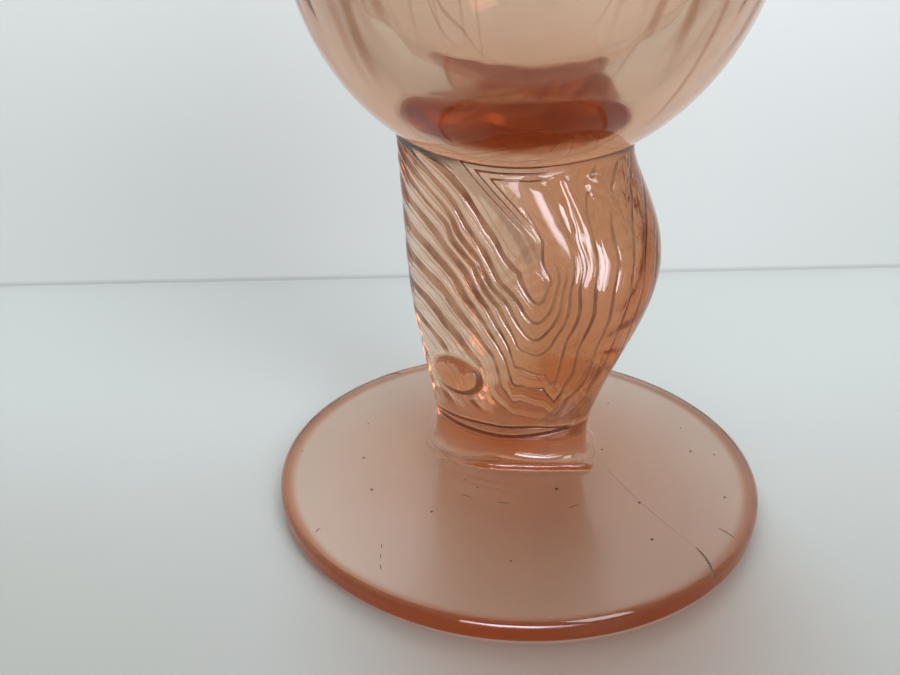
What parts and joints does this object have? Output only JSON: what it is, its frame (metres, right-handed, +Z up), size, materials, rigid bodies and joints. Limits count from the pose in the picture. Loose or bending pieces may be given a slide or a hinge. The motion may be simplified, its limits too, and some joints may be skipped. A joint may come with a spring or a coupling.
{
  "type": "glass bud vase",
  "caption": "Footed bud vase in peach pressed glass: round foot, twisted reeded stem with oval bosses, ball-shaped bowl, narrow neck and flared rolled mouth.",
  "frame": {"origin": "middle of the resting face, at the bottom of the foot", "axes": "+Z up along the axis of the foot and bowl; -Y is the front, with the broad face of the stem; +X is to the right of the front"},
  "size_m": [0.08, 0.08, 0.15],
  "materials": {
    "peach_glass": "clear peach-pink pressed glass, glossy: pale where it is thin and deep orange where it is thick, with fine pressed lines on the stem and light wear on the foot"
  },
  "bodies": {
    "root": {"foot": "peach_glass", "foot_collar": "peach_glass", "stem": "peach_glass", "boss_front": "peach_glass", "boss_back": "peach_glass", "bowl_base": "peach_glass", "bowl": "peach_glass", "neck": "peach_glass", "lip": "peach_glass"}
  },
  "joints": []
}
